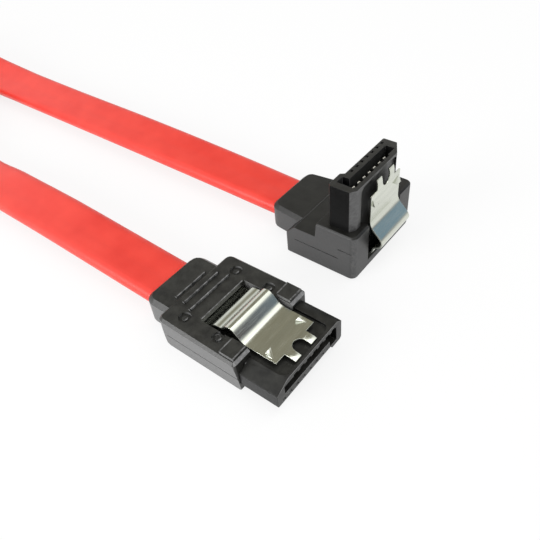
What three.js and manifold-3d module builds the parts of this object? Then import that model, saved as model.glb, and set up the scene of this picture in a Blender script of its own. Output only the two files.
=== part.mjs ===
// Serial data cable for a disk drive: a red flat ribbon with a straight plug on one end and a
// right-angle plug on the other, each with a sprung metal latch.
// Millimetres, +Z up. The origin is the middle of the straight plug's underside, +X is the way
// the straight plug goes in, and +Y runs across it towards the right-angle plug.

import * as THREE from "three";
import { mergeVertices } from "three/addons/utils/BufferGeometryUtils.js";
import Module from "manifold-3d";

const wasm = await Module();
wasm.setup();

// Driving dimensions.
// Each plug is drawn in its own axes: w is the mating direction with 0 at the mating face,
// u runs across the plug, and v goes through it towards the latch with 0 at the thick wall.

const contact_count = 7;
const contact_pitch = 1.27;
const contact_shift = 0.9;
const fit_gap = 0.1;

const slot_margin = 1.39;
const end_wall = 1.25;
const slot_width = (contact_count - 1) * contact_pitch + 2 * slot_margin;
const mate_width = slot_width + 2 * end_wall;
const thick_wall = 1.15;
const slot_gap = 1.35;
const latch_wall = 0.8;
const slot_shift = 0.15;
const slot_depth = 5.2;
const key_width = 1.4;
const key_drop = 1.05;
const key_wall = 0.65;
const straight_key_block = 2.4;
const angled_key_block = 3.2;
const key_corner_u = 0.9;
const key_corner_v = 0.6;
const far_corner_u = 2.1;
const far_corner_v = 1.2;
const far_toe = 0.15;
const recess_width = 8.9;
const recess_depth = 0.4;
const recess_lip = 0.45;
const channel_width = 0.74;
const mark_width = 0.5;
const mark_depth = 0.42;
const mark_skin = 0.18;
const mark_shift = -1.5;
const mark_length = 1.6;

const tail_side = 0.1;
const tail_width = slot_width + 2 * tail_side;
const tail_floor = 0.9;

const contact_width = 0.5;
const contact_thick = 0.2;
const contact_bow = 0.72;
const contact_tip = 0.45;
const contact_tip_drop = 0.4;
const contact_crest = 1.6;
const contact_tail = 1.5;

const latch_width = 7.4;
const latch_thick = 0.25;
const straight_hump = 1.6;
const straight_crest = 8.8;
const angled_hump = 2.0;
const angled_crest = 9.3;
const latch_bend = 7.1;
const latch_back = 11.4;
const latch_back_rise = 0.72;
const latch_root_gap = 0.15;
const latch_root_bend = 12.5;
const latch_shoulder = 2.15;
const latch_tip = 0.6;
const latch_tip_drop = 0.2;
const tab_outer = 2.1;
const tab_notch = 0.95;
const tab_notch_depth = 1.45;
const barb_length = 1.2;
const barb_width = 1.0;
const barb_height = 0.42;
const latch_bend_reach = 0.8;
const latch_pad_length = 1.4;
const barb_inset = 0.3;
const barb_setback = 0.55;

const pocket_side = 0.4;
const cover_gap = 0.65;

const body_rear = 18.3;
const body_front = 5.6;
const body_width = 14.1;
const body_draft = 0.15;
const body_taper = 0.6;
const body_height = 5.6;
const body_edge = 0.35;
const mate_rise = 1.4;
const neck_length = 4.6;
const neck_width = 10.2;
const neck_base = 0.5;
const neck_top = 4.9;
const neck_edge = 0.6;
const cavity_side = 0.2;
const cavity_floor = 1.2;
const cavity_rear = 17.0;
const tail_length = 7.4;
const straight_latch_lift = 0.1;
const straight_root_end = 14.9;
const pocket_rear = 13.3;

const shoulder_rear = 8.15;
const shoulder_front = 5.95;
const shoulder_rise = 0.45;
const shoulder_side = 0.5;
const rib_first = 15.55;
const rib_pitch = 1.5;
const rib_length = 7.5;
const rib_step = 1;
const neck_rib = 19.05;
const rib_width = 0.35;
const rib_height = 0.25;
const seam_height = 2.55;
const seam_size = 0.12;
const dimple_radius = 0.85;
const dimple_pin = 0.4;
const dimple_depth = 0.35;
const dimple_side = 4.85;
const dimple_rear = 15.3;
const dimple_front = 9.8;

const angled_x = 4.1;
const angled_y = 23.9;
const tower_side = 0.4;
const tower_back = -0.65;
const tower_top = 14.15;
const block_rear = -8.0;
const block_front = 3.6;
const block_width = 15.5;
const block_edge = 0.25;
const block_corner = 0.9;
const block_toe = 3.6;
const block_shelf = 5.25;
const block_shelf_rear = -6.4;
const collar_rear = -2.6;
const collar_height = 7.6;
const block_wall = 1.1;
const angled_tail_length = 4.2;
const angled_neck_length = 4.9;
const angled_neck_top = 5.0;
const angled_latch_lift = 0.55;
const angled_root_end = 13.7;
const angled_pocket_rear = 12.8;
const angled_seam_height = 3.0;
const front_seam_height = 4.65;
const front_seam_rear = 0.9;
const angled_lead_height = 2.2;
const lead_cavity_top = 3.9;

const ribbon_width = 7.9;
const ribbon_thick = 2.2;
const ribbon_exit = 2.7;
const ribbon_inside = 5.4;
const lead_gap = 0.2;
const core_radius = 0.42;
const drain_radius = 0.22;
const lead_sides = 6;
const lead_steps = 8;

const strand_gap = 0.5;
const tie_x = -119;
const tie_length = 4;
const tie_wall = 0.8;
const tie_clear = 0.3;
const tie_head = 2.4;
const loop_neck_x = -138.6;
const loop_radius = 33.5;
const loop_neck_radius = 20;
const lay_gap = 0.03;

// Sizes that follow from the ones above.

const mate_thick = thick_wall + slot_gap + latch_wall;
const slot_top = thick_wall + slot_gap;
const mating_x = (body_rear + body_front) / 2;
const contact_level = slot_top + contact_thick / 2;
const channel_top = slot_top + contact_thick + fit_gap / 2;
const tail_top = mate_thick - recess_depth;
const tail_thick = tail_top - tail_floor;
const pocket_width = latch_width + 2 * pocket_side;
const cavity_width = tail_width + 2 * cavity_side;
const lead_places = [];
for (let i = 0; i < contact_count; i += 1) {
  lead_places.push((i - (contact_count - 1) / 2) * contact_pitch);
}
const contact_places = lead_places.map((u) => u + contact_shift);
const mark_places = lead_places.map((u) => u + mark_shift);

// Materials.

const finishes = {
  black: { color: 0x2b2c2a, roughness: 0.5, metalness: 0 },
  housing: { color: 0x242523, roughness: 0.45, metalness: 0 },
  red: { color: 0xe8392f, roughness: 0.45, metalness: 0 },
  steel: { color: 0xb4b6a8, roughness: 0.3, metalness: 0.9 },
  gold: { color: 0xc9b37a, roughness: 0.3, metalness: 0.9 },
  core: { color: 0xe9e6dc, roughness: 0.5, metalness: 0 },
  drain: { color: 0xb9bcc0, roughness: 0.35, metalness: 0.8 },
  tie: { color: 0x1f2021, roughness: 0.6, metalness: 0 },
};

const cable = new THREE.Group();

function addNode(name, solid, finish, group = cable) {
  const mesh = new THREE.Mesh(geometryOf(solid), new THREE.MeshStandardMaterial(finishes[finish]));
  mesh.name = name;
  group.add(mesh);
}

// Closed solids from three.js geometry, and back.

function solidOf(geometry) {
  const bare = geometry.clone();
  bare.deleteAttribute("normal");
  bare.deleteAttribute("uv");
  const merged = mergeVertices(bare, 1e-5);
  return new wasm.Manifold(new wasm.Mesh({
    numProp: 3,
    vertProperties: new Float32Array(merged.attributes.position.array),
    triVerts: new Uint32Array(merged.index.array),
  }));
}

function geometryOf(solid) {
  const mesh = solid.getMesh();
  const geometry = new THREE.BufferGeometry();
  geometry.setAttribute("position", new THREE.BufferAttribute(mesh.vertProperties, 3));
  geometry.setIndex(new THREE.BufferAttribute(mesh.triVerts, 1));
  geometry.computeVertexNormals();
  return geometry;
}

// Plug axes (w, u, v) laid on the model's: the straight plug mates along +X with its latch up,
// the right-angle plug mates along +Z with its latch towards +X.
const straight_axes = new THREE.Matrix4().makeTranslation(mating_x, 0, mate_rise);
const angledAxes = (y) => new THREE.Matrix4().set(
  0, 0, 1, angled_x + tower_back,
  0, -1, 0, y,
  1, 0, 0, tower_top,
  0, 0, 0, 1,
);
const tower_axes = angledAxes(angled_y - tower_side);
const angled_latch_axes = angledAxes(angled_y);
const angled_origin = new THREE.Matrix4().makeTranslation(angled_x, angled_y, 0);
const straight_origin = new THREE.Matrix4().makeTranslation(mating_x, 0, 0);

function box(x0, x1, y0, y1, z0, z1) {
  const geometry = new THREE.BoxGeometry(x1 - x0, y1 - y0, z1 - z0);
  geometry.translate((x0 + x1) / 2, (y0 + y1) / 2, (z0 + z1) / 2);
  return geometry;
}

function outline(points) {
  return new THREE.Shape(points.map(([a, b]) => new THREE.Vector2(a, b)));
}

// An outline drawn across the plug (u, v), pulled along w.
function alongW(shape, w0, w1) {
  const geometry = new THREE.ExtrudeGeometry(shape, { depth: w1 - w0, bevelEnabled: false });
  geometry.applyMatrix4(new THREE.Matrix4().set(0, 0, 1, w0, 1, 0, 0, 0, 0, 1, 0, 0, 0, 0, 0, 1));
  return geometry;
}

// An outline drawn on the plug's side (w, v), pulled across u; edge is a chamfer on both ends.
function alongU(shape, u0, u1, edge = 0) {
  const geometry = new THREE.ExtrudeGeometry(shape, {
    depth: u1 - u0 - 2 * edge, bevelEnabled: edge > 0, bevelThickness: edge,
    bevelSize: edge, bevelOffset: -edge, bevelSegments: 1,
  });
  geometry.applyMatrix4(new THREE.Matrix4().set(1, 0, 0, 0, 0, 0, -1, u1 - edge, 0, 1, 0, 0, 0, 0, 0, 1));
  return geometry;
}

// An outline drawn in plan (w, u), pulled up v; edge is a chamfer on the top and the bottom.
function alongV(shape, v0, v1, edge = 0) {
  const geometry = new THREE.ExtrudeGeometry(shape, {
    depth: v1 - v0 - 2 * edge, bevelEnabled: edge > 0, bevelThickness: edge,
    bevelSize: edge, bevelOffset: -edge, bevelSegments: 1, curveSegments: 5,
  });
  geometry.translate(0, 0, v0 + edge);
  return geometry;
}

// A closed outline round a bent strip: its middle line, thickened to both sides.
function stripOutline(line, thickness) {
  const sides = [[], []];
  line.forEach(([a, b], i) => {
    const before = line[Math.max(i - 1, 0)];
    const after = line[Math.min(i + 1, line.length - 1)];
    const into = new THREE.Vector2(a - before[0], b - before[1]).normalize();
    const out = new THREE.Vector2(after[0] - a, after[1] - b).normalize();
    const along = into.clone().add(out).normalize();
    const half = (thickness / 2) / Math.max(along.dot(i ? into : out), 0.5);
    sides[0].push([a - along.y * half, b + along.x * half]);
    sides[1].unshift([a + along.y * half, b - along.x * half]);
  });
  return outline([...sides[0], ...sides[1]]);
}

// The same line with each inner corner turned into a short curve.
function roundLine(line, reach) {
  const out = [line[0]];
  for (let i = 1; i < line.length - 1; i += 1) {
    const corner = new THREE.Vector2(...line[i]);
    const ends = [line[i - 1], line[i + 1]].map((p) => {
      const end = new THREE.Vector2(...p);
      const share = Math.min(reach, 0.45 * corner.distanceTo(end)) / corner.distanceTo(end);
      return corner.clone().lerp(end, share);
    });
    const curve = new THREE.QuadraticBezierCurve(ends[0], corner, ends[1]);
    out.push(...curve.getPoints(5).map((p) => [p.x, p.y]));
  }
  return [...out, line[line.length - 1]];
}

// A plan from w0 to w1 with its own half width and corner radius at each end.
function roundedPlan(w0, w1, half0, half1, radius0, radius1) {
  const points = [];
  const corner = (w, u, radius, turn) => {
    const steps = radius > 0 ? 4 : 0;
    for (let i = 0; i <= steps; i += 1) {
      const a = turn + (steps ? (Math.PI / 2) * (i / steps) : 0);
      points.push([w + radius * Math.cos(a), u + radius * Math.sin(a)]);
    }
  };
  corner(w1 - radius1, -half1 + radius1, radius1, -Math.PI / 2);
  corner(w1 - radius1, half1 - radius1, radius1, 0);
  corner(w0 + radius0, half0 - radius0, radius0, Math.PI / 2);
  corner(w0 + radius0, -half0 + radius0, radius0, Math.PI);
  return outline(points);
}

// Insulating housing: the mating end with its L-shaped slot, contact channels and outer marks,
// and the narrower tail that the overmould grips.
function housing(mate_length, tail_end, key_block) {
  const half = mate_width / 2;
  const key_floor = thick_wall - key_drop - key_wall;
  const section = outline([
    [-half, far_toe], [-half + far_toe, 0], [half - key_block, 0],
    [half - key_block + 0.4, key_floor], [half - 0.3, key_floor], [half, key_floor + 0.3],
    [half, mate_thick - key_corner_v], [half - key_corner_u, mate_thick],
    [-half + far_corner_u, mate_thick], [-half, mate_thick - far_corner_v],
  ]);
  let solid = solidOf(alongW(section, -mate_length, 0));
  solid = solid.add(solidOf(box(
    -tail_end, -mate_length + fit_gap, -tail_width / 2, tail_width / 2, tail_floor, tail_top,
  )));
  const slot_low = slot_shift - slot_width / 2;
  const slot_high = slot_shift + slot_width / 2;
  solid = solid.subtract(solidOf(box(-slot_depth, 1, slot_low, slot_high, thick_wall, slot_top)));
  solid = solid.subtract(solidOf(box(
    -slot_depth, 1, slot_high - key_width, slot_high, thick_wall - key_drop, slot_top,
  )));
  solid = solid.subtract(solidOf(alongV(
    roundedPlan(-mate_length - 1, -recess_lip, recess_width / 2, recess_width / 2, 0, 0.8),
    tail_top, mate_thick + 1,
  )));
  for (const u of contact_places) {
    const side = channel_width / 2;
    solid = solid.subtract(solidOf(box(
      -tail_end - 1, 1, u - side, u + side, slot_top - fit_gap, channel_top,
    )));
  }
  for (const u of mark_places) {
    const side = mark_width / 2;
    solid = solid.subtract(solidOf(box(
      -mark_length, 1, u - side, u + side, mark_skin, mark_skin + mark_depth,
    )));
  }
  return solid;
}

// Spring contact: a tail for the lead, a stem in the housing's channel, a bow into the slot
// and a tip that turns back into the channel.
function contact(u, line) {
  return solidOf(alongU(stripOutline(line, contact_thick), u - contact_width / 2, u + contact_width / 2));
}

function contactBeam() {
  const inner = -slot_depth + 0.4;
  return [
    [inner, contact_level],
    [-contact_crest - 0.3, contact_level - contact_bow],
    [-contact_crest + 0.3, contact_level - contact_bow],
    [-contact_tip, contact_level - contact_tip_drop],
  ];
}

// Stamped spring latch: root under the overmould, humped press pad, flat plate with two
// raised barbs, and two front tabs on either side of a round notch.
function latch(lift, root_end, crest, hump) {
  const level = mate_thick + lift + latch_thick / 2;
  const root = tail_top + latch_root_gap + latch_thick / 2;
  const line = roundLine([
    [-root_end, root],
    [-latch_root_bend, root],
    [-latch_back - 0.15, level + latch_back_rise - 0.1],
    [-crest - latch_pad_length, level + latch_back_rise],
    [-crest - latch_pad_length + 0.55, level + hump - 0.1],
    [-crest + 0.1, level + hump + 0.12],
    [-latch_bend, level],
    [-latch_tip - 0.7, level],
    [-latch_tip, level - latch_tip_drop],
  ], latch_bend_reach);
  const half = latch_width / 2;
  const strip = solidOf(alongU(stripOutline(line, latch_thick), -half, half));
  const plan = new THREE.Shape();
  plan.moveTo(-root_end - 1, -half);
  plan.lineTo(-latch_shoulder, -half);
  plan.lineTo(-latch_shoulder, -tab_outer);
  plan.lineTo(1, -tab_outer);
  plan.lineTo(1, -tab_notch);
  plan.lineTo(-tab_notch_depth, -tab_notch);
  plan.absarc(-tab_notch_depth, 0, tab_notch, -Math.PI / 2, Math.PI / 2, true);
  plan.lineTo(1, tab_notch);
  plan.lineTo(1, tab_outer);
  plan.lineTo(-latch_shoulder, tab_outer);
  plan.lineTo(-latch_shoulder, half);
  plan.lineTo(-root_end - 1, half);
  let solid = strip.intersect(solidOf(alongV(plan, 0, 2 * mate_thick)));
  const barb_front = -latch_shoulder - barb_setback;
  const barb_rear = barb_front - barb_length;
  const top = level + latch_thick / 2;
  for (const side of [-1, 1]) {
    const outer = side * (half - barb_inset);
    const inner = outer - side * barb_width;
    const ramp = solidOf(alongU(
      outline([[barb_front, top - 0.05], [barb_rear, top + barb_height], [barb_rear, top - 0.05]]),
      Math.min(inner, outer), Math.max(inner, outer),
    ));
    const corners = [[barb_rear, outer], [barb_rear, inner], [barb_front, outer]];
    const tang = solidOf(alongV(outline(side > 0 ? corners.reverse() : corners), 0, 2 * mate_thick));
    solid = solid.add(ramp.intersect(tang));
  }
  return solid;
}

// Straight plug's overmould: body, strain-relief neck, shoulders, grip ribs and ejector dimples,
// hollow where the housing's tail, the leads and the ribbon's end sit.
function straightOvermould() {
  const front_half = body_width / 2;
  const rear_half = front_half - body_draft;
  const plan = roundedPlan(-body_rear, -body_front, rear_half, front_half, 0.9, 0.5);
  let solid = solidOf(alongV(plan, 0, body_height, body_edge));
  const base_half = front_half - body_taper;
  const taper = outline([
    [-base_half, 0], [base_half, 0], [front_half, body_height], [-front_half, body_height],
  ]);
  solid = solid.intersect(solidOf(alongW(taper, -body_rear - 1, 0)));
  const neck_rear = -body_rear - neck_length;
  const neck = roundedPlan(neck_rear, -body_rear + 2, neck_width / 2, neck_width / 2, 1.6, 0);
  solid = solid.add(solidOf(alongV(neck, neck_base, neck_top, neck_edge)));
  const pocket_half = pocket_width / 2;
  for (const side of [-1, 1]) {
    const inner = side * (pocket_half + 0.1);
    const outer = side * (front_half - shoulder_side);
    solid = solid.add(solidOf(box(
      -shoulder_rear, -shoulder_front, Math.min(inner, outer), Math.max(inner, outer),
      body_height - 1, body_height + shoulder_rise,
    )));
  }
  const ribs = [
    [rib_first, rib_length, body_height], [rib_first + rib_pitch, rib_length - rib_step, body_height],
    [neck_rib, rib_length - 2 * rib_step, neck_top],
  ];
  for (const [w, length, level] of ribs) {
    solid = solid.add(solidOf(box(
      -w - rib_width / 2, -w + rib_width / 2, -length / 2, length / 2, level - 1, level + rib_height,
    )));
  }
  const tail_z = mate_rise + tail_top;
  const cavity_half = cavity_width / 2;
  solid = solid.subtract(solidOf(box(-cavity_rear, 0, -cavity_half, cavity_half, cavity_floor, tail_z)));
  solid = solid.subtract(solidOf(box(
    -pocket_rear, 0, -pocket_half, pocket_half, tail_z - 1, 2 * body_height,
  )));
  solid = solid.subtract(solidOf(box(
    -straight_root_end - 0.3, -pocket_rear + 1,
    -latch_width / 2 - fit_gap, latch_width / 2 + fit_gap, tail_z - 1, tail_z + cover_gap,
  )));
  solid = solid.subtract(solidOf(box(
    neck_rear - 1, -cavity_rear + 1, -ribbon_width / 2 - fit_gap, ribbon_width / 2 + fit_gap,
    ribbon_exit - ribbon_thick / 2 - fit_gap, ribbon_exit + ribbon_thick / 2 + fit_gap,
  )));
  for (const side of [-1, 1]) {
    const inner = side * (base_half + body_taper * (seam_height / body_height) - seam_size);
    const outer = side * (front_half + 1);
    solid = solid.subtract(solidOf(box(
      -body_rear + 1, -body_front + 1, Math.min(inner, outer), Math.max(inner, outer),
      seam_height, seam_height + seam_size,
    )));
  }
  for (const w of [-dimple_rear, -dimple_front]) {
    for (const u of [-dimple_side, dimple_side]) {
      solid = solid.subtract(dimple(w, u));
    }
  }
  return solid;
}

// Round ejector dimple: a ring-shaped groove round a low pin.
function dimple(w, u) {
  const floor = body_height - dimple_depth;
  const bore = new THREE.CylinderGeometry(dimple_radius, dimple_radius, 1, 12);
  bore.rotateX(Math.PI / 2);
  bore.translate(w, u, floor + 0.5);
  const pin = new THREE.CylinderGeometry(dimple_pin, dimple_pin, dimple_depth, 8);
  pin.rotateX(Math.PI / 2);
  pin.translate(w, u, floor);
  return solidOf(bore).subtract(solidOf(pin));
}

// Right-angle plug's overmould: a block with a collar round the tower, a sloped toe, a neck to
// the ribbon and a pocket in its front for the latch.
function angledOvermould() {
  const half = block_width / 2;
  const side = outline([
    [block_rear - 1, -1], [block_front + 1, -1], [block_front + 1, collar_height + 1],
    [collar_rear, collar_height + 1], [collar_rear, collar_height], [collar_rear - 0.25, block_shelf],
    [block_shelf_rear, block_shelf], [block_rear, block_toe], [block_rear - 1, block_toe - 1],
  ]);
  const plan = roundedPlan(block_rear, block_front, half, half, 0.4, block_corner);
  let solid = solidOf(alongV(plan, 0, collar_height, block_edge));
  solid = solid.intersect(solidOf(alongU(side, -half - 1, half + 1)));
  const neck_rear = block_rear - angled_neck_length;
  const neck = roundedPlan(neck_rear, block_rear + 2, neck_width / 2, neck_width / 2 + 0.6, 1.6, 0);
  solid = solid.add(solidOf(alongV(neck, neck_base, angled_neck_top, neck_edge)));
  for (const side of [-1, 1]) {
    const inner = side * (half - seam_size);
    const low = Math.min(inner, side * (half + 1));
    const high = Math.max(inner, side * (half + 1));
    solid = solid.subtract(solidOf(box(
      block_shelf_rear, front_seam_rear, low, high, angled_seam_height, angled_seam_height + seam_size,
    )));
    solid = solid.subtract(solidOf(box(
      front_seam_rear, block_front - block_corner / 2, low, high,
      front_seam_height, front_seam_height + seam_size,
    )));
  }
  const cavity_half = cavity_width / 2 + tower_side;
  const tail_front = tower_back + tail_top;
  const tail_back = tower_back + tail_floor - fit_gap;
  solid = solid.subtract(solidOf(box(
    tail_back, tail_front, -cavity_half, cavity_half, cavity_floor, collar_height + 1,
  )));
  solid = solid.subtract(solidOf(box(
    block_rear + block_wall, tail_front, -cavity_half, cavity_half, cavity_floor, lead_cavity_top,
  )));
  const pocket_half = pocket_width / 2;
  const pocket_z = tower_top - angled_pocket_rear;
  solid = solid.subtract(solidOf(box(
    tail_front - 1, block_front + 1, -pocket_half, pocket_half,
    pocket_z, collar_height + 1,
  )));
  solid = solid.subtract(solidOf(box(
    tail_front - 1, tail_front + cover_gap, -latch_width / 2 - fit_gap,
    latch_width / 2 + fit_gap, tower_top - angled_root_end - 0.2, pocket_z + 1,
  )));
  solid = solid.subtract(solidOf(box(
    neck_rear - 1, block_rear + block_wall + 1, -ribbon_width / 2 - fit_gap, ribbon_width / 2 + fit_gap,
    ribbon_exit - ribbon_thick / 2 - fit_gap, ribbon_exit + ribbon_thick / 2 + fit_gap,
  )));
  return solid;
}

// Where a core or drain wire leaves the ribbon's end.
function leadStart(i) {
  const limit = ribbon_width / 2 - 2 * drain_radius;
  return Math.sign(lead_places[i]) * Math.min(Math.abs(lead_places[i]), limit);
}

// Insulated core or bare drain wire, from the ribbon's end to a contact's tail.
function lead(points, radius) {
  const circle = new THREE.Shape();
  circle.absarc(0, 0, radius, 0, 2 * Math.PI);
  const path = new THREE.CatmullRomCurve3(points.map((p) => new THREE.Vector3(...p)));
  return solidOf(new THREE.ExtrudeGeometry(circle, {
    steps: lead_steps, extrudePath: path, bevelEnabled: false, curveSegments: lead_sides / 2,
  }));
}

// Straight plug.

const straight_tail_end = body_front + tail_length;
const straight_inner = housing(body_front, straight_tail_end, straight_key_block);
addNode("straight_housing", straight_inner.transform(straight_axes.elements), "housing");
addNode("straight_overmould", straightOvermould().transform(straight_origin.elements), "black");
const straight_spring = latch(straight_latch_lift, straight_root_end, straight_crest, straight_hump);
addNode("straight_latch", straight_spring.transform(straight_axes.elements), "steel");

const straight_contact_end = -straight_tail_end - contact_tail;
const straight_lead_start = ribbon_inside - body_rear - neck_length + lead_gap;
const straight_lead_rise = ribbon_exit - mate_rise;
contact_places.forEach((u, i) => {
  const name = `straight_contact_${i + 1}`;
  const line = [[straight_contact_end, contact_level], ...contactBeam()];
  addNode(name, contact(u, line).transform(straight_axes.elements), "gold");
});

const lead_kinds = ["drain", "core", "core", "drain", "core", "core", "drain"];
const lead_counts = { core: 0, drain: 0 };

contact_places.forEach((u, i) => {
  const kind = lead_kinds[i];
  lead_counts[kind] += 1;
  const radius = kind === "core" ? core_radius : drain_radius;
  const under = contact_level - contact_thick / 2 - radius - fit_gap;
  const u_in = leadStart(i);
  const points = [
    [straight_lead_start, u_in, straight_lead_rise],
    [straight_lead_start + 0.6, u_in, straight_lead_rise + 0.1],
    [straight_contact_end - 0.7, u, under - 0.1],
    [straight_contact_end + 0.1, u, under],
    [straight_contact_end + 1.1, u, under],
  ];
  const name = `straight_${kind}_${lead_counts[kind]}`;
  addNode(name, lead(points, radius).transform(straight_axes.elements), kind);
});

// Right-angle plug.

const tower_length = tower_top - collar_height;
const angled_tail_end = tower_length + angled_tail_length;
const tower = housing(tower_length, angled_tail_end, angled_key_block);
addNode("angled_housing", tower.transform(tower_axes.elements), "housing");
addNode("angled_overmould", angledOvermould().transform(angled_origin.elements), "black");
const angled_spring = latch(angled_latch_lift, angled_root_end, angled_crest, angled_hump);
addNode("angled_latch", angled_spring.transform(angled_latch_axes.elements), "steel");

const lead_level = -(tower_top - angled_lead_height);
contact_places.forEach((u, i) => {
  const line = [
    [lead_level, -contact_tail], [lead_level, contact_level - 0.5],
    [lead_level + 0.5, contact_level], ...contactBeam(),
  ];
  addNode(`angled_contact_${i + 1}`, contact(u, line).transform(tower_axes.elements), "gold");
});

lead_counts.core = 0;
lead_counts.drain = 0;
contact_places.forEach((u, i) => {
  const kind = lead_kinds[i];
  lead_counts[kind] += 1;
  const radius = kind === "core" ? core_radius : drain_radius;
  const over = angled_lead_height + contact_thick / 2 + radius + fit_gap;
  const u_in = leadStart(contact_count - 1 - i);
  const start = block_rear - angled_neck_length + ribbon_inside + lead_gap;
  const end = tower_back - contact_tail + 1.2;
  const points = [
    [start, u_in, ribbon_exit], [start + 0.8, u_in, ribbon_exit],
    [end - 1.8, -u - tower_side, over], [end - 0.9, -u - tower_side, over], [end, -u - tower_side, over],
  ];
  const name = `angled_${kind}_${lead_counts[kind]}`;
  addNode(name, lead(points, radius).transform(angled_origin.elements), kind);
});

// Ribbon: one jacket from plug to plug. It leaves both necks flat, turns on edge, and the two
// strands meet in a tie before one round loop on the surface.

const exit_straight = mating_x - body_rear - neck_length;
const exit_angled = angled_x + block_rear - angled_neck_length;
const strand_step = ribbon_thick + strand_gap;
const lower_y = angled_y - strand_step;
const edge_z = ribbon_width / 2 + lay_gap;
const tie_z = edge_z + tie_wall + tie_clear;

const route = [
  [exit_straight + ribbon_inside, 0, ribbon_exit, 0],
  [exit_straight, 0, ribbon_exit, 0],
  [exit_straight - 12, 0, 3.05, -4],
  [exit_straight - 25, 0, 3.4, -9],
  [-50, 0, 3.4, -10],
  [-60, 0.4, 3.0, 1],
  [-70, 2.6, 3.2, 22],
  [-80, 7.4, 3.7, 46],
  [-90, 13.4, 4.2, 68],
  [-99, 18.2, 4.5, 84],
  [-107, 20.7, tie_z - 0.2, 90],
  [-113, lower_y, tie_z, 90],
  [tie_x, lower_y, tie_z, 90],
  [-125, lower_y, tie_z - 0.3, 90],
];

// The loop: a short bend out of the tie, a round turn, and the same bend back in.
const loop_y = (angled_y + lower_y) / 2;
const neck_offset = strand_step / 2 + loop_neck_radius;
const loop_reach = Math.sqrt((loop_radius + loop_neck_radius) ** 2 - neck_offset ** 2);
const neck_angle = Math.atan2(loop_reach, neck_offset);
const loop_x = loop_neck_x - loop_reach;

for (let i = 0; i <= 4; i += 1) {
  const a = (neck_angle * i) / 4;
  const sink = tie_z - 0.4 + (edge_z - tie_z + 0.4) * (i / 4);
  route.push([
    loop_neck_x - loop_neck_radius * Math.sin(a),
    lower_y - loop_neck_radius + loop_neck_radius * Math.cos(a), sink, 90,
  ]);
}
const loop_steps = 20;
const half_turn = Math.PI - (Math.PI / 2 - neck_angle);
for (let i = 1; i < loop_steps; i += 1) {
  const a = Math.PI + half_turn - (2 * half_turn * i) / loop_steps;
  route.push([loop_x + loop_radius * Math.cos(a), loop_y + loop_radius * Math.sin(a), edge_z, 90]);
}
for (let i = 4; i >= 0; i -= 1) {
  const a = (neck_angle * i) / 4;
  const sink = tie_z - 0.4 + (edge_z - tie_z + 0.4) * (i / 4);
  route.push([
    loop_neck_x - loop_neck_radius * Math.sin(a),
    angled_y + loop_neck_radius - loop_neck_radius * Math.cos(a), sink, 90,
  ]);
}
route.push(
  [-125, angled_y, tie_z - 0.3, 90],
  [tie_x, angled_y, tie_z, 90],
  [-114, angled_y, tie_z - 0.2, 86],
  [-106, angled_y, 4.5, 66],
  [-98, angled_y, 4.0, 44],
  [-90, angled_y, 3.6, 26],
  [-80, angled_y, 3.4, 15],
  [-64, angled_y, 3.3, 11],
  [-46, angled_y, 3.3, 10],
  [exit_angled - 25, angled_y, 3.2, 8],
  [exit_angled - 12, angled_y, 3.0, 4],
  [exit_angled, angled_y, ribbon_exit, 0],
  [exit_angled + ribbon_inside, angled_y, ribbon_exit, 0],
);

// The ribbon's section, a flat bar with round edges, carried along the route and rolled by the
// angle that each point gives.
function ribbonSolid() {
  const half = ribbon_width / 2 - ribbon_thick / 2;
  const r = ribbon_thick / 2;
  const section = new THREE.Shape();
  section.moveTo(-half, -r);
  section.lineTo(half, -r);
  section.absarc(half, 0, r, -Math.PI / 2, Math.PI / 2);
  section.lineTo(-half, r);
  section.absarc(-half, 0, r, Math.PI / 2, 1.5 * Math.PI);
  const steps = 110;
  const bar = new THREE.ExtrudeGeometry(section, { depth: 1, steps, bevelEnabled: false, curveSegments: 4 });
  const knots = route.map(([x, y, z]) => new THREE.Vector3(x, y, z));
  const path = new THREE.CatmullRomCurve3(knots, false, "centripetal");
  const rolls = route.map((p) => p[3]);
  const up = new THREE.Vector3(0, 0, 1);
  const frames = [];
  for (let i = 0; i <= steps; i += 1) {
    const t = path.getUtoTmapping(i / steps);
    const along = t * (rolls.length - 1);
    const k = Math.min(Math.floor(along), rolls.length - 2);
    const roll = THREE.MathUtils.degToRad(rolls[k] + (rolls[k + 1] - rolls[k]) * (along - k));
    const tangent = path.getTangent(t);
    const side = new THREE.Vector3().crossVectors(up, tangent).normalize();
    const top = new THREE.Vector3().crossVectors(tangent, side);
    frames.push({
      centre: path.getPoint(t),
      across: side.clone().multiplyScalar(Math.cos(roll)).addScaledVector(top, Math.sin(roll)),
      through: top.clone().multiplyScalar(Math.cos(roll)).addScaledVector(side, -Math.sin(roll)),
    });
  }
  const position = bar.attributes.position;
  for (let i = 0; i < position.count; i += 1) {
    const frame = frames[Math.round(position.getZ(i) * steps)];
    const point = frame.centre.clone()
      .addScaledVector(frame.across, position.getX(i))
      .addScaledVector(frame.through, position.getY(i));
    position.setXYZ(i, point.x, point.y, point.z);
  }
  return solidOf(bar);
}

addNode("ribbon", ribbonSolid(), "red");

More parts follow.
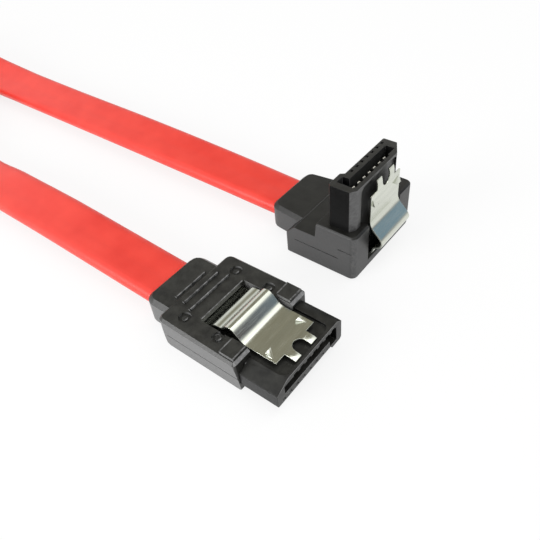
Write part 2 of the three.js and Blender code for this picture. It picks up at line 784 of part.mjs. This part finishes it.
// Strap round the two strands where the loop closes.
function tieSolid() {
  const inner_y = strand_step / 2 + ribbon_thick / 2 + tie_clear;
  const inner_z = edge_z + tie_clear;
  const outer_y = inner_y + tie_wall;
  const outer_z = inner_z + tie_wall;
  const plan = roundedPlan(-outer_y, outer_y, outer_z, outer_z, 0.8, 0.8);
  const hole = roundedPlan(-inner_y, inner_y, inner_z, inner_z, 0.4, 0.4);
  const turn = new THREE.Matrix4().set(
    0, 0, 1, tie_x - tie_length / 2, 1, 0, 0, loop_y, 0, 1, 0, outer_z, 0, 0, 0, 1,
  );
  const band = alongV(plan, 0, tie_length);
  band.applyMatrix4(turn);
  const opening = alongV(hole, -1, tie_length + 1);
  opening.applyMatrix4(turn);
  const head = box(
    tie_x - tie_length / 2 - 0.3, tie_x + tie_length / 2 + 0.3, loop_y + inner_y + tie_wall / 2,
    loop_y + inner_y + tie_head, outer_z - tie_head, outer_z + tie_head,
  );
  return solidOf(band).subtract(solidOf(opening)).add(solidOf(head));
}

addNode("tie", tieSolid(), "tie");

export default cable;
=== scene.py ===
# %% [markdown]
# This notebook dresses a serial data cable: a red flat ribbon with a straight plug on one end,
# a right-angle plug on the other, and a sprung steel latch on each plug. The plain solids come
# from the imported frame. Each step adds the finish, the soft edges and the small shapes that the
# real cable shows.

import math

import bpy
from mathutils import Matrix, Vector


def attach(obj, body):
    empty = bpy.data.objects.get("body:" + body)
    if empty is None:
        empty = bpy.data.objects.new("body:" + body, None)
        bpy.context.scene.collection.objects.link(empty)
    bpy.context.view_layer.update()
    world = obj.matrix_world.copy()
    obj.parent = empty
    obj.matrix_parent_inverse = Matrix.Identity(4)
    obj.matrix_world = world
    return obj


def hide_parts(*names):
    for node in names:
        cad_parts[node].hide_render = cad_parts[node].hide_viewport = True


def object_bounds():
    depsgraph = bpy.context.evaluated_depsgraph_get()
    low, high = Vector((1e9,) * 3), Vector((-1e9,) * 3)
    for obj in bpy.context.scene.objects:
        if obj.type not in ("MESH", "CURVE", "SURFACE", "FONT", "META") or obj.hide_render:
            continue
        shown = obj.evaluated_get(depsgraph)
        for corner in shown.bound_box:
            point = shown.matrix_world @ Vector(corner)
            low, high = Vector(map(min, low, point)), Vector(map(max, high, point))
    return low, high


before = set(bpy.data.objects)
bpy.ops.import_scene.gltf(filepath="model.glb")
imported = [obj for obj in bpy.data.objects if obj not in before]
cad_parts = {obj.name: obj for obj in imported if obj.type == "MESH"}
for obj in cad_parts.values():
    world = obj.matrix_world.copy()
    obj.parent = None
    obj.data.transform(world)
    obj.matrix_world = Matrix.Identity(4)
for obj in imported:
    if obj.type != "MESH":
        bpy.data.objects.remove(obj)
solid_low, solid_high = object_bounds()
print("loaded", len(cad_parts), "solids")

# %% [markdown]
# The camera comes first, because everything after it is judged through it. It stands in front
# of the straight plug, to its left and above it, close enough for clear perspective, and it
# leans a little to one side. The three directions below are its right, up and backward axes.

# %% Camera
view_right = Vector((0.7853, 0.6139, -0.0805))
view_up = Vector((-0.3886, 0.5899, 0.7079))
view_back = view_right.cross(view_up).normalized()
view_up = view_back.cross(view_right).normalized()
view_right.normalize()

camera_data = bpy.data.cameras.new("camera")
camera_data.lens = 38.41
camera_data.sensor_width = 36.0
camera_data.clip_start = 0.001
camera_place = (0.03647, -0.03195, 0.05818)
camera = bpy.data.objects.new("camera", camera_data)
bpy.context.scene.collection.objects.link(camera)
camera.matrix_world = Matrix.Translation(camera_place) @ Matrix(
    (view_right, view_up, view_back)
).transposed().to_4x4()
bpy.context.scene.camera = camera
print("camera at", [round(value, 4) for value in camera.location])

# %% [markdown]
# The ribbon is a flexible strip of fixed length. Its middle line is a list of points, each with
# the height of the line and the angle by which the strip is rolled there: flat at the plugs,
# on edge where the two strands are tied and in the loop. The points are in millimetres.

# %% The ribbon's route
MM = 0.001
ribbon_width = 7.9
ribbon_thick = 2.2
ribbon_exit = 2.7
exit_straight = -10.95
exit_angled = -8.8
angled_y = 23.9
lower_y = 21.2
tie_x = -119.0
tie_z = 5.08
edge_z = 3.98
loop_neck_x = -138.6
loop_radius = 33.5
neck_radius = 20.0
neck_steps = 4
loop_steps = 20
tie_dip = 0.4

loop_y = (angled_y + lower_y) / 2
neck_offset = (angled_y - lower_y) / 2 + neck_radius
loop_reach = math.sqrt((loop_radius + neck_radius) ** 2 - neck_offset**2)
neck_angle = math.atan2(loop_reach, neck_offset)
loop_x = loop_neck_x - loop_reach
half_turn = math.pi / 2 + neck_angle


def neck_point(step, side_y, direction):
    angle = neck_angle * step / neck_steps
    height = tie_z - tie_dip + (edge_z - tie_z + tie_dip) * step / neck_steps
    across = side_y + direction * neck_radius * (1 - math.cos(angle))
    return (loop_neck_x - neck_radius * math.sin(angle), across, height, 90)


route = [
    (exit_straight + 5.4, 0, ribbon_exit, 0),
    (exit_straight, 0, ribbon_exit, 0),
    (exit_straight - 12, 0, 3.05, -4),
    (exit_straight - 25, 0, 3.4, -9),
    (-50, 0, 3.4, -10),
    (-60, 0.4, 3.0, 1),
    (-70, 2.6, 3.2, 22),
    (-80, 7.4, 3.7, 46),
    (-90, 13.4, 4.2, 68),
    (-99, 18.2, 4.5, 84),
    (-107, 20.7, tie_z - 0.2, 90),
    (-113, lower_y, tie_z, 90),
    (tie_x, lower_y, tie_z, 90),
    (-125, lower_y, tie_z - 0.3, 90),
]
route += [neck_point(step, lower_y, -1) for step in range(neck_steps + 1)]
for step in range(1, loop_steps):
    angle = math.pi + half_turn - 2 * half_turn * step / loop_steps
    route.append(
        (loop_x + loop_radius * math.cos(angle), loop_y + loop_radius * math.sin(angle), edge_z, 90)
    )
route += [neck_point(step, angled_y, 1) for step in range(neck_steps, -1, -1)]
route += [
    (-125, angled_y, tie_z - 0.3, 90),
    (tie_x, angled_y, tie_z, 90),
    (-114, angled_y, tie_z - 0.2, 86),
    (-106, angled_y, 4.5, 66),
    (-98, angled_y, 4.0, 44),
    (-90, angled_y, 3.6, 26),
    (-80, angled_y, 3.4, 15),
    (-64, angled_y, 3.3, 11),
    (-46, angled_y, 3.3, 10),
    (exit_angled - 25, angled_y, 3.2, 8),
    (exit_angled - 12, angled_y, 3.0, 4),
    (exit_angled, angled_y, ribbon_exit, 0),
    (exit_angled + 5.4, angled_y, ribbon_exit, 0),
]
print("route has", len(route), "points")

# %% [markdown]
# A smooth curve through the points keeps every bend gentle. The curve used here spaces its
# knots by the square root of the distance between points, which stops it from overshooting
# where close points follow far ones.


# %% A smooth line through the points
def smooth_line(points, per_span):
    knots = [Vector(p[:3]) for p in points]
    rolls = [p[3] for p in points]
    before = [knots[0] * 2 - knots[1]] + knots[:-1]
    after = knots[1:] + [knots[-1] * 2 - knots[-2]]
    line = []
    for i in range(len(knots) - 1):
        quad = (before[i], knots[i], knots[i + 1], after[i + 1])
        gaps = [(b - a).length ** 0.5 for a, b in zip(quad, quad[1:])]
        start = (quad[1] - quad[0]) / gaps[0] - (quad[2] - quad[0]) / (gaps[0] + gaps[1])
        start = (start + (quad[2] - quad[1]) / gaps[1]) * gaps[1]
        end = (quad[2] - quad[1]) / gaps[1] - (quad[3] - quad[1]) / (gaps[1] + gaps[2])
        end = (end + (quad[3] - quad[2]) / gaps[2]) * gaps[1]
        for k in range(per_span + (i == len(knots) - 2)):
            t = k / per_span
            place = (
                quad[1] * (2 * t**3 - 3 * t**2 + 1)
                + start * (t**3 - 2 * t**2 + t)
                + quad[2] * (3 * t**2 - 2 * t**3)
                + end * (t**3 - t**2)
            )
            line.append((place, rolls[i] + (rolls[i + 1] - rolls[i]) * t))
    return line


points_per_span = 8
ribbon_line = smooth_line(route, points_per_span)
ribbon_length = sum((b[0] - a[0]).length for a, b in zip(ribbon_line, ribbon_line[1:]))
print("ribbon is", round(ribbon_length, 1), "mm long")

# %% [markdown]
# The ribbon's section is a flat bar with round edges. The four insulated cores inside make the
# faces swell a little over each pair and leave a shallow valley down the middle. The section
# is carried along the line, and its own map runs lengthwise, so that the finish can follow it.


# %% The ribbon
edge_steps = 8
face_steps = 10
valley_depth = 0.05
valley_spread = 0.55


def ribbon_section():
    half = (ribbon_width - ribbon_thick) / 2
    radius = ribbon_thick / 2
    ring = []
    for side in (1, -1):
        for k in range(edge_steps + 1):
            angle = -math.pi / 2 + math.pi * k / edge_steps
            ring.append((side * (half + radius * math.cos(angle)), side * radius * math.sin(angle)))
        for k in range(1, face_steps):
            x = side * half * (1 - 2 * k / face_steps)
            dip = valley_depth * math.exp(-((x / valley_spread) ** 2))
            ring.append((x, side * (radius - dip)))
    return ring


def sweep_ribbon(line, section):
    up = Vector((0, 0, 1))
    rings = []
    travelled = [0.0]
    for i, (place, roll) in enumerate(line):
        ahead = line[min(i + 1, len(line) - 1)][0] - line[max(i - 1, 0)][0]
        along = ahead.normalized()
        side = up.cross(along).normalized()
        top = along.cross(side)
        turn = math.radians(roll)
        across = side * math.cos(turn) + top * math.sin(turn)
        through = top * math.cos(turn) - side * math.sin(turn)
        rings.append([(place + across * x + through * y) * MM for x, y in section])
        if i:
            travelled.append(travelled[-1] + (place - line[i - 1][0]).length * MM)
    count = len(section)
    corners = [tuple(point) for ring in rings for point in ring]
    faces = [tuple(range(count - 1, -1, -1))]
    for i in range(len(rings) - 1):
        for k in range(count):
            j = (k + 1) % count
            faces.append((i * count + k, i * count + j, (i + 1) * count + j, (i + 1) * count + k))
    faces.append(tuple((len(rings) - 1) * count + k for k in range(count)))
    mesh = bpy.data.meshes.new("ribbon_jacket")
    mesh.from_pydata(corners, [], faces)
    uv = mesh.uv_layers.new(name="lengthwise")
    for face in mesh.polygons:
        columns = [mesh.loops[k].vertex_index % count for k in face.loop_indices]
        wraps = max(columns) == count - 1 and min(columns) == 0 and len(columns) == 4
        for k, column in zip(face.loop_indices, columns):
            turn = 1.0 if wraps and column == 0 else column / count
            uv.data[k].uv = (travelled[mesh.loops[k].vertex_index // count], turn)
    return mesh


ribbon = bpy.data.objects.new("ribbon_jacket", sweep_ribbon(ribbon_line, ribbon_section()))
bpy.context.scene.collection.objects.link(ribbon)
bpy.ops.object.select_all(action="DESELECT")
ribbon.select_set(True)
bpy.context.view_layer.objects.active = ribbon
bpy.ops.object.mode_set(mode="EDIT")
bpy.ops.mesh.select_all(action="SELECT")
bpy.ops.mesh.normals_make_consistent(inside=False)
bpy.ops.object.mode_set(mode="OBJECT")
bpy.ops.object.shade_smooth_by_angle(angle=math.radians(40))
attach(ribbon, "cable")
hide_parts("ribbon")
print("ribbon has", len(ribbon.data.polygons), "faces")

# %% [markdown]
# Injection moulded plastic and stamped steel never have perfectly sharp edges. Each solid that
# shows is copied, its doubled corners are merged, its flat triangles are joined, and a narrow
# bevel rounds its edges, so that they catch a thin line of light as the real ones do. The
# straight plug's cover has fine details close together, so its bevel stays narrower there.


# %% Copies with soft edges
merge_distance = 0.000002
flat_angle = math.radians(1)
smooth_angle = math.radians(35)
bevel_segments = 2
flat_weight = 90
crowded = "straight_overmould"


def soft_copy(node, name, edge):
    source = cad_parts[node]
    piece = bpy.data.objects.new(name, source.data.copy())
    bpy.context.scene.collection.objects.link(piece)
    piece.matrix_world = Matrix.Identity(4)
    bpy.ops.object.select_all(action="DESELECT")
    piece.select_set(True)
    bpy.context.view_layer.objects.active = piece
    bpy.ops.object.mode_set(mode="EDIT")
    bpy.ops.mesh.select_all(action="SELECT")
    bpy.ops.mesh.remove_doubles(threshold=merge_distance)
    bpy.ops.mesh.dissolve_limited(angle_limit=flat_angle)
    bpy.ops.mesh.normals_make_consistent(inside=False)
    bpy.ops.object.mode_set(mode="OBJECT")
    bevel = piece.modifiers.new("soft edges", "BEVEL")
    bevel.width = edge * MM
    bevel.segments = bevel_segments
    bevel.limit_method = "ANGLE"
    bevel.angle_limit = smooth_angle
    bevel.use_clamp_overlap = node == crowded
    bpy.ops.object.modifier_apply(modifier=bevel.name)
    bpy.ops.object.shade_smooth_by_angle(angle=smooth_angle)
    weighted = piece.modifiers.new("flat faces stay flat", "WEIGHTED_NORMAL")
    weighted.weight = flat_weight
    weighted.keep_sharp = True
    bpy.ops.object.modifier_apply(modifier=weighted.name)
    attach(piece, node if node in ("straight_latch", "angled_latch") else "cable")
    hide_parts(node)
    return piece


soft_pieces = {}
for node, edge in (
    ("straight_overmould", 0.12),
    ("angled_overmould", 0.06),
    ("straight_housing", 0.05),
    ("angled_housing", 0.05),
    ("straight_latch", 0.03),
    ("angled_latch", 0.03),
    ("tie", 0.15),
):
    soft_pieces[node] = soft_copy(node, node + "_soft", edge)
    print(node, "now has", len(soft_pieces[node].data.polygons), "faces")

# %% [markdown]
# A finish on a moulded part is more than a colour. This helper starts a material with the
# principled shader, and the next one adds a noise that reads the object's own coordinates,
# so that the grain stays on the surface when a piece moves.


# %% Helpers for finishes
def new_finish(name, metallic=0.0):
    material = bpy.data.materials.new(name)
    material.use_nodes = True
    shader = material.node_tree.nodes["Principled BSDF"]
    shader.inputs["Metallic"].default_value = metallic
    return material, material.node_tree, shader


def grain(tree, scale, detail=4.0, stretch=(1, 1, 1), layer="Object"):
    place = tree.nodes.new("ShaderNodeTexCoord")
    mapping = tree.nodes.new("ShaderNodeMapping")
    mapping.inputs["Scale"].default_value = stretch
    noise = tree.nodes.new("ShaderNodeTexNoise")
    noise.inputs["Scale"].default_value = scale
    noise.inputs["Detail"].default_value = detail
    tree.links.new(place.outputs[layer], mapping.inputs["Vector"])
    tree.links.new(mapping.outputs["Vector"], noise.inputs["Vector"])
    return noise.outputs["Fac"]


def ramp(tree, source, low, high, start=0.3, stop=0.7):
    node = tree.nodes.new("ShaderNodeValToRGB")
    node.color_ramp.elements[0].position = start
    node.color_ramp.elements[0].color = low
    node.color_ramp.elements[1].position = stop
    node.color_ramp.elements[1].color = high
    tree.links.new(source, node.inputs["Fac"])
    return node.outputs["Color"]


def bump(tree, shader, source, strength, depth):
    node = tree.nodes.new("ShaderNodeBump")
    node.inputs["Strength"].default_value = strength
    node.inputs["Distance"].default_value = depth * MM
    tree.links.new(source, node.inputs["Height"])
    tree.links.new(node.outputs["Normal"], shader.inputs["Normal"])


def grey(value):
    return (value, value, value, 1)


# %% [markdown]
# The overmould is black vinyl from a spark-eroded mould: matt, with a fine grain. The housing
# inside is a harder, smoother black plastic. The object's own normal tells a side wall from a top
# face: the side walls get a painted shade, a lighter grey on the covers and a darker one on the
# housings, in place of the light that falls on them, and a specular level of their own. The
# normal also picks out the edges that face one way, and these get a painted highlight.


# %% Black plastics
mottle_scale = 700
sheen_scale = 2600
rough_spread = 0.06
side_shading_range = (0.55, 0.98)
highlight_range = (0.77, 0.93)


def stepped(tree, source, start, stop, low=0.0, high=1.0):
    node = tree.nodes.new("ShaderNodeMapRange")
    node.inputs["From Min"].default_value = start
    node.inputs["From Max"].default_value = stop
    node.inputs["To Min"].default_value = low
    node.inputs["To Max"].default_value = high
    tree.links.new(source, node.inputs["Value"])
    return node.outputs["Result"]


def blend(tree, amount, first, second):
    node = tree.nodes.new("ShaderNodeMix")
    node.data_type = "RGBA"
    tree.links.new(amount, node.inputs["Factor"])
    tree.links.new(first, node.inputs["A"])
    tree.links.new(second, node.inputs["B"])
    return node.outputs["Result"]


def black_plastic(name, tones, side, rough, texture, edge, shines=(0.4, 0.4)):
    material, tree, shader = new_finish(name)
    sheen = grain(tree, sheen_scale)
    place = tree.nodes.new("ShaderNodeTexCoord")
    axes = tree.nodes.new("ShaderNodeSeparateXYZ")
    tree.links.new(place.outputs["Normal"], axes.inputs[0])
    sideways = tree.nodes.new("ShaderNodeMath")
    sideways.operation = "ABSOLUTE"
    tree.links.new(axes.outputs["Y"], sideways.inputs[0])
    # Side walls get a painted shade: a flat grey in place of the light that falls on them.
    on_side = stepped(tree, sideways.outputs[0], *side_shading_range)
    painted_side_shading = ramp(tree, sheen, grey(side * 0.9), grey(side * 1.1))
    grain_and_side_shading = blend(tree, on_side, ramp(tree, grain(tree, mottle_scale), *tones), painted_side_shading)

    # Edges that face the given way get a painted highlight: a lighter grey in their base colour.
    highlight_way, highlight_tone = edge
    turned = tree.nodes.new("ShaderNodeVectorMath")
    turned.operation = "DOT_PRODUCT"
    turned.inputs[1].default_value = Vector(highlight_way).normalized()
    tree.links.new(place.outputs["Normal"], turned.inputs[0])
    highlight_mask = stepped(tree, turned.outputs["Value"], *highlight_range)
    painted_edge_highlight = ramp(tree, sheen, grey(highlight_tone * 0.7), grey(highlight_tone * 1.3))
    tree.links.new(blend(tree, highlight_mask, grain_and_side_shading, painted_edge_highlight), shader.inputs["Base Color"])

    dull = ramp(tree, sheen, grey(rough - rough_spread), grey(rough + rough_spread))
    tree.links.new(dull, shader.inputs["Roughness"])
    gloss = stepped(tree, on_side, 0.0, 1.0, *shines)
    tree.links.new(gloss, shader.inputs["Specular IOR Level"])
    texture_scale, texture_depth = texture
    bump(tree, shader, grain(tree, texture_scale, 6.0), 0.5, texture_depth)
    return material


# %% [markdown]
# The ribs, the rims of the two shoulders and the pocket's rear rim stand proud of the straight
# plug's cover, and each gets a painted highlight in a thin broken line. Each line is given in
# millimetres by its place along the plug, its middle across the plug and its half length.


# %% Painted highlight lines
highlight_line_scale = 1600
highlight_line_tones = (grey(0.03), grey(0.24))


def paint_highlight_lines(material, lines, half_width):
    tree = material.node_tree
    shader = tree.nodes["Principled BSDF"]
    plain = shader.inputs["Base Color"].links[0].from_socket
    place = tree.nodes.new("ShaderNodeTexCoord")
    axes = tree.nodes.new("ShaderNodeSeparateXYZ")
    tree.links.new(place.outputs["Object"], axes.inputs[0])

    def near(axis, value, reach):
        test = tree.nodes.new("ShaderNodeMath")
        test.operation = "COMPARE"
        tree.links.new(axes.outputs[axis], test.inputs[0])
        test.inputs[1].default_value = value * MM
        test.inputs[2].default_value = reach * MM
        return test.outputs[0]

    def combine(operation, first, second):
        node = tree.nodes.new("ShaderNodeMath")
        node.operation = operation
        tree.links.new(first, node.inputs[0])
        tree.links.new(second, node.inputs[1])
        return node.outputs[0]

    total = None
    for along, across, half_length in lines:
        one = combine("MULTIPLY", near("X", along, half_width), near("Y", across, half_length))
        total = one if total is None else combine("MAXIMUM", total, one)
    # The lines are a painted highlight, mixed into the base colour.
    bright = ramp(tree, grain(tree, highlight_line_scale), *highlight_line_tones)
    tree.links.new(blend(tree, total, plain, bright), shader.inputs["Base Color"])


# %% Black finishes
deep_black = (0.006, 0.006, 0.005, 1)
soft_black = (0.015, 0.015, 0.013, 1)
worn_black = (0.011, 0.011, 0.010, 1)
worn_grey = (0.032, 0.032, 0.028, 1)
hard_grey = (0.030, 0.030, 0.027, 1)
# Painted highlights: the way an edge faces, and the grey that is painted on it.
front_highlight = ((0.68, 0.0, 0.73), 0.26)
corner_highlight = ((0.83, -0.55, 0.05), 0.09)
vinyl_texture = (3600, 0.028)
# The number after the two tones is the grey painted on the side walls as shade.
straight_black = black_plastic(
    "straight_black", (worn_black, worn_grey), 0.15, 0.41, vinyl_texture, front_highlight
)
angled_black = black_plastic(
    "angled_black", (deep_black, soft_black), 0.070, 0.41, vinyl_texture, corner_highlight
)
straight_hard = black_plastic(
    "straight_hard", (worn_black, hard_grey), 0.006, 0.34, (5000, 0.015), front_highlight, (0.28, 0.3)
)
angled_hard = black_plastic(
    "angled_hard", (deep_black, soft_black), 0.008, 0.34, (5000, 0.02), corner_highlight, (0.5, 0.08)
)
tie_black = black_plastic(
    "tie_black", (deep_black, soft_black), 0.03, 0.4, (5000, 0.01), front_highlight
)
# Painted highlight lines on the straight cover's raised rims.
highlight_line_places = (
    (-3.51, 0, 3.6),
    (-5.01, 0, 3.1),
    (-7.01, 0, 2.6),
    (-1.45, 0, 3.9),
    (3.88, -5.4, 1.1),
    (3.88, 5.4, 1.1),
    (5.9, -5.4, 1.1),
    (5.9, 5.4, 1.1),
)
paint_highlight_lines(straight_black, highlight_line_places, half_width=0.09)
print("black finishes ready")

# %% [markdown]
# The ribbon's jacket is glossy red vinyl. It was pushed out of a die, which leaves faint lines
# along its length, and it is a little uneven where the cores press through.

# %% Red vinyl
jacket_red, tree, shader = new_finish("jacket_red")
cloud = grain(tree, 220)
tree.links.new(
    ramp(tree, cloud, (0.78, 0.040, 0.026, 1), (0.86, 0.058, 0.038, 1)), shader.inputs["Base Color"]
)
die_lines = grain(tree, 40, 3.0, (1.5, 60, 1), "UV")
tree.links.new(ramp(tree, die_lines, grey(0.30), grey(0.42)), shader.inputs["Roughness"])
shader.inputs["Subsurface Weight"].default_value = 0.08
shader.inputs["Subsurface Scale"].default_value = 0.0006
bump(tree, shader, die_lines, 0.35, 0.02)
print("red finish ready")

# %% [markdown]
# The latches are stamped from bright spring steel. The rolling of the strip leaves very fine
# lines across them, and the press leaves small dull patches. The contacts are plated.


# %% Metals
streak_scale = 260
line_scale = 1500


def rolled_metal(name, low, high, rough_low, rough_high, stretch, depth):
    material, tree, shader = new_finish(name, 1.0)
    streaks = grain(tree, streak_scale, 5.0, stretch)
    tree.links.new(ramp(tree, streaks, low, high), shader.inputs["Base Color"])
    lines = grain(tree, line_scale, 3.0, stretch)
    tree.links.new(ramp(tree, lines, grey(rough_low), grey(rough_high)), shader.inputs["Roughness"])
    bump(tree, shader, streaks, 0.5, depth)
    return material


latch_steel = rolled_metal(
    "latch_steel", (0.58, 0.60, 0.53, 1), (0.68, 0.70, 0.62, 1), 0.14, 0.26, (5, 0.3, 5), 0.006
)
contact_plating = rolled_metal(
    "contact_plating", (0.46, 0.44, 0.38, 1), (0.58, 0.56, 0.50, 1), 0.20, 0.32, (1, 8, 1), 0.002
)
tinned_wire = rolled_metal(
    "tinned_wire", (0.62, 0.62, 0.64, 1), (0.72, 0.72, 0.74, 1), 0.24, 0.38, (1, 6, 6), 0.01
)
print("metal finishes ready")

# %% [markdown]
# The cores' insulation is foamed plastic, chalky white and slightly see-through.

# %% Core insulation
core_white, tree, shader = new_finish("core_white")
chalk = grain(tree, 3000)
tree.links.new(
    ramp(tree, chalk, (0.74, 0.73, 0.68, 1), (0.84, 0.83, 0.79, 1)), shader.inputs["Base Color"]
)
shader.inputs["Roughness"].default_value = 0.5
shader.inputs["Subsurface Weight"].default_value = 0.15
shader.inputs["Subsurface Scale"].default_value = 0.0004
bump(tree, shader, chalk, 0.3, 0.01)
print("core finish ready")

# %% [markdown]
# Every piece and every carried solid now gets its finish.


# %% Put the finishes on
def finish_piece(piece, material):
    piece.data.materials.clear()
    piece.data.materials.append(material)


finish_piece(ribbon, jacket_red)
for node, piece in soft_pieces.items():
    if "overmould" in node:
        finish_piece(piece, straight_black if "straight" in node else angled_black)
    elif "housing" in node:
        finish_piece(piece, straight_hard if "straight" in node else angled_hard)
    elif "latch" in node:
        finish_piece(piece, latch_steel)
    else:
        finish_piece(piece, tie_black)

node_finishes = {"contact": contact_plating, "core": core_white, "drain": tinned_wire}
for node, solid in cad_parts.items():
    for word, material in node_finishes.items():
        if word in node:
            for k in range(len(solid.material_slots)):
                solid.material_slots[k].material = material
print("finishes on", len(soft_pieces) + 1, "pieces")

# %% [markdown]

# %% [markdown]
# The stage is a plain white floor that fades into a white surround, with a faint shadow under
# the plugs. Bright metal shows whatever is round it, so the surround is not even: it is greyer
# or bluer in the three directions that the flat faces of the latches mirror, and brighter in
# the direction that the bends of the straight plug's latch mirror.

# %% Floor
floor_size = 4
floor_gap = 0.00005
floor_glow = 1.03
floor_share = 0.80

bpy.ops.object.select_all(action="DESELECT")
bpy.ops.mesh.primitive_plane_add(size=floor_size, location=(0, 0, solid_low.z - floor_gap))
floor = bpy.context.active_object
floor.name = "floor"
floor_white, tree, shader = new_finish("floor_white")
shader.inputs["Base Color"].default_value = grey(0.86)
shader.inputs["Roughness"].default_value = 0.9
shader.inputs["Specular IOR Level"].default_value = 0.0
glow = tree.nodes.new("ShaderNodeEmission")
glow.inputs["Color"].default_value = grey(floor_glow)
seen = tree.nodes.new("ShaderNodeLightPath")
either = tree.nodes.new("ShaderNodeMath")
either.operation = "MAXIMUM"
share = tree.nodes.new("ShaderNodeMath")
share.operation = "MULTIPLY"
share.inputs[1].default_value = floor_share
mixed = tree.nodes.new("ShaderNodeMixShader")
tree.links.new(seen.outputs["Is Camera Ray"], either.inputs[0])
tree.links.new(seen.outputs["Is Glossy Ray"], either.inputs[1])
tree.links.new(either.outputs[0], share.inputs[0])
tree.links.new(share.outputs[0], mixed.inputs["Fac"])
tree.links.new(shader.outputs["BSDF"], mixed.inputs[1])
tree.links.new(glow.outputs["Emission"], mixed.inputs[2])
tree.links.new(mixed.outputs["Shader"], tree.nodes["Material Output"].inputs["Surface"])
finish_piece(floor, floor_white)
print("floor at", round(floor.location.z * 1000, 3), "mm")

# %% Surround
room_tone = 0.70
glossy_tone = 0.92
straight_plate_way = (-0.41, 0.46, 0.78)
straight_bend_way = (0.30, 0.46, 0.83)
straight_slope_way = (0.82, 0.46, 0.33)
angled_slope_way = (0.60, 0.69, 0.40)
olive = (0.305, 0.285, 0.225, 1)
steel_grey = (0.13, 0.11, 0.115, 1)
steel_blue = (0.26, 0.375, 0.49, 1)
white_glare = grey(1.6)

world = bpy.data.worlds.new("surround")
world.use_nodes = True
bpy.context.scene.world = world
tree = world.node_tree
backdrop = tree.nodes["Background"]
backdrop.inputs["Strength"].default_value = 1.0
direction = tree.nodes.new("ShaderNodeTexCoord").outputs["Generated"]


def toward(point, start, stop):
    aim = tree.nodes.new("ShaderNodeVectorMath")
    aim.operation = "DOT_PRODUCT"
    aim.inputs[1].default_value = Vector(point).normalized()
    tree.links.new(direction, aim.inputs[0])
    amount = tree.nodes.new("ShaderNodeMapRange")
    amount.interpolation_type = "SMOOTHSTEP"
    amount.inputs["From Min"].default_value = start
    amount.inputs["From Max"].default_value = stop
    tree.links.new(aim.outputs["Value"], amount.inputs["Value"])
    return amount.outputs["Result"]


def tint(colour, amount, patch):
    mix = tree.nodes.new("ShaderNodeMix")
    mix.data_type = "RGBA"
    tree.links.new(amount, mix.inputs["Factor"])
    tree.links.new(colour, mix.inputs["A"])
    mix.inputs["B"].default_value = patch
    return mix.outputs["Result"]


rays = tree.nodes.new("ShaderNodeLightPath")
room = tree.nodes.new("ShaderNodeRGB")
room.outputs[0].default_value = grey(room_tone)
colour = tint(room.outputs[0], rays.outputs["Is Glossy Ray"], grey(glossy_tone))
colour = tint(colour, toward(straight_plate_way, 0.87, 0.955), olive)
colour = tint(colour, toward(straight_bend_way, 0.93, 0.975), white_glare)
colour = tint(colour, toward(straight_slope_way, 0.90, 0.995), steel_grey)
colour = tint(colour, toward(angled_slope_way, 0.945, 0.992), steel_blue)
colour = tint(colour, rays.outputs["Is Camera Ray"], grey(1.0))
tree.links.new(colour, backdrop.inputs["Color"])
print("surround ready")

# %% Lamps


def soft_lamp(name, place, target, size, power):
    data = bpy.data.lights.new(name, "AREA")
    data.shape = "DISK"
    data.size = size
    data.energy = power
    lamp = bpy.data.objects.new(name, data)
    bpy.context.scene.collection.objects.link(lamp)
    lamp.location = place
    aim = Vector(target) - Vector(place)
    lamp.rotation_euler = aim.to_track_quat("-Z", "Y").to_euler()
    return lamp


plugs = (0, 0.01, 0)
soft_lamp("key", (-0.14, -0.36, 0.16), plugs, size=0.24, power=1.1)
soft_lamp("top", (0.05, 0.05, 0.45), plugs, size=0.30, power=0.35)
print("lamps ready")

# %% [markdown]
# Last comes the plain view setting.

# %% Finish
bpy.context.scene.view_settings.view_transform = "Standard"
